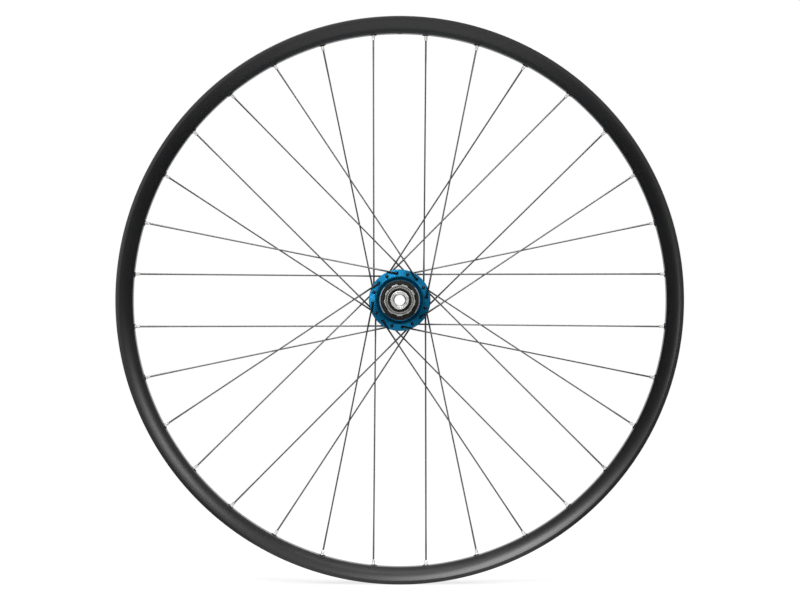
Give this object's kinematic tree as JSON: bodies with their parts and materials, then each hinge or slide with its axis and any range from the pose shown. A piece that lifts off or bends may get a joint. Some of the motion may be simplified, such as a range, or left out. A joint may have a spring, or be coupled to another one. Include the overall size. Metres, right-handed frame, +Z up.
{
  "type": "bicycle wheel",
  "caption": "Spoked rear bicycle wheel without tyre: hollow rim, crossed spokes, flanged hub with a disc brake mount, a splined freehub with a pawl ratchet, and an open through-axle bore.",
  "frame": {"origin": "centre of the wheel, on the axle halfway between the two dropout faces", "axes": "+Y along the axle to the disc brake side, +Z up through the valve hole, +X forwards"},
  "size_m": [0.6339, 0.148, 0.634],
  "materials": {
    "rim_black": "satin black anodised",
    "spoke_black": "black oxide on drawn stainless wire",
    "nipple_silver": "nickel plated",
    "hub_blue": "blue anodised over fine turning marks",
    "bare_aluminium": "clear anodised, satin",
    "hard_steel": "ground",
    "seal_black": "moulded, matt"
  },
  "bodies": {
    "axle": {"axle": "bare_aluminium", "drive_end_cap": "bare_aluminium", "disc_end_cap": "bare_aluminium", "drive_spacer": "bare_aluminium", "freehub_spacer": "bare_aluminium", "drive_hub_bearing_inner_ring": "hard_steel", "disc_hub_bearing_inner_ring": "hard_steel", "inner_freehub_bearing_inner_ring": "hard_steel", "outer_freehub_bearing_inner_ring": "hard_steel"},
    "wheel": {"rim": "rim_black", "nipples": "nipple_silver", "hub_shell": "hub_blue", "ratchet_ring": "hard_steel", "disc_trailing_spoke_1": "spoke_black", "disc_trailing_spoke_2": "spoke_black", "disc_trailing_spoke_3": "spoke_black", "disc_trailing_spoke_4": "spoke_black", "disc_trailing_spoke_5": "spoke_black", "disc_trailing_spoke_6": "spoke_black", "disc_trailing_spoke_7": "spoke_black", "disc_trailing_spoke_8": "spoke_black", "drive_trailing_spoke_1": "spoke_black", "drive_trailing_spoke_2": "spoke_black", "drive_trailing_spoke_3": "spoke_black", "drive_trailing_spoke_4": "spoke_black", "drive_trailing_spoke_5": "spoke_black", "drive_trailing_spoke_6": "spoke_black", "drive_trailing_spoke_7": "spoke_black", "drive_trailing_spoke_8": "spoke_black", "disc_leading_spoke_1": "spoke_black", "disc_leading_spoke_2": "spoke_black", "disc_leading_spoke_3": "spoke_black", "disc_leading_spoke_4": "spoke_black", "disc_leading_spoke_5": "spoke_black", "disc_leading_spoke_6": "spoke_black", "disc_leading_spoke_7": "spoke_black", "disc_leading_spoke_8": "spoke_black", "drive_leading_spoke_1": "spoke_black", "drive_leading_spoke_2": "spoke_black", "drive_leading_spoke_3": "spoke_black", "drive_leading_spoke_4": "spoke_black", "drive_leading_spoke_5": "spoke_black", "drive_leading_spoke_6": "spoke_black", "drive_leading_spoke_7": "spoke_black", "drive_leading_spoke_8": "spoke_black", "drive_hub_bearing_outer_ring": "hard_steel", "drive_hub_bearing_sealed_core": "seal_black", "disc_hub_bearing_outer_ring": "hard_steel", "disc_hub_bearing_sealed_core": "seal_black"},
    "freehub": {"freehub_body": "bare_aluminium", "freehub_seal": "seal_black", "pawl_springs": "hard_steel", "inner_freehub_bearing_outer_ring": "hard_steel", "inner_freehub_bearing_sealed_core": "seal_black", "outer_freehub_bearing_outer_ring": "hard_steel", "outer_freehub_bearing_sealed_core": "seal_black"},
    "pawl_1": {"pawl_1": "hard_steel"},
    "pawl_2": {"pawl_2": "hard_steel"},
    "pawl_3": {"pawl_3": "hard_steel"},
    "pawl_4": {"pawl_4": "hard_steel"}
  },
  "joints": [
    {"name": "wheel_spin", "type": "hinge", "parent": "axle", "child": "wheel", "pos_m": [0, 0, 0], "axis": [0, 1, 0], "continuous": true},
    {"name": "freehub_spin", "type": "hinge", "parent": "axle", "child": "freehub", "pos_m": [0, -0.04, 0], "axis": [0, 1, 0], "continuous": true},
    {"name": "pawl_1_swing", "type": "hinge", "parent": "freehub", "child": "pawl_1", "pos_m": [0, -0.0235, 0.016], "axis": [0, -1, 0], "range_deg": [0, 15], "stiffness_Nm_per_rad": 0.002, "springref_deg": 34.38},
    {"name": "pawl_2_swing", "type": "hinge", "parent": "freehub", "child": "pawl_2", "pos_m": [0.016, -0.0235, 0], "axis": [0, -1, 0], "range_deg": [0, 15], "stiffness_Nm_per_rad": 0.002, "springref_deg": 34.38},
    {"name": "pawl_3_swing", "type": "hinge", "parent": "freehub", "child": "pawl_3", "pos_m": [0, -0.0235, -0.016], "axis": [0, -1, 0], "range_deg": [0, 15], "stiffness_Nm_per_rad": 0.002, "springref_deg": 34.38},
    {"name": "pawl_4_swing", "type": "hinge", "parent": "freehub", "child": "pawl_4", "pos_m": [-0.016, -0.0235, 0], "axis": [0, -1, 0], "range_deg": [0, 15], "stiffness_Nm_per_rad": 0.002, "springref_deg": 34.38}
  ]
}
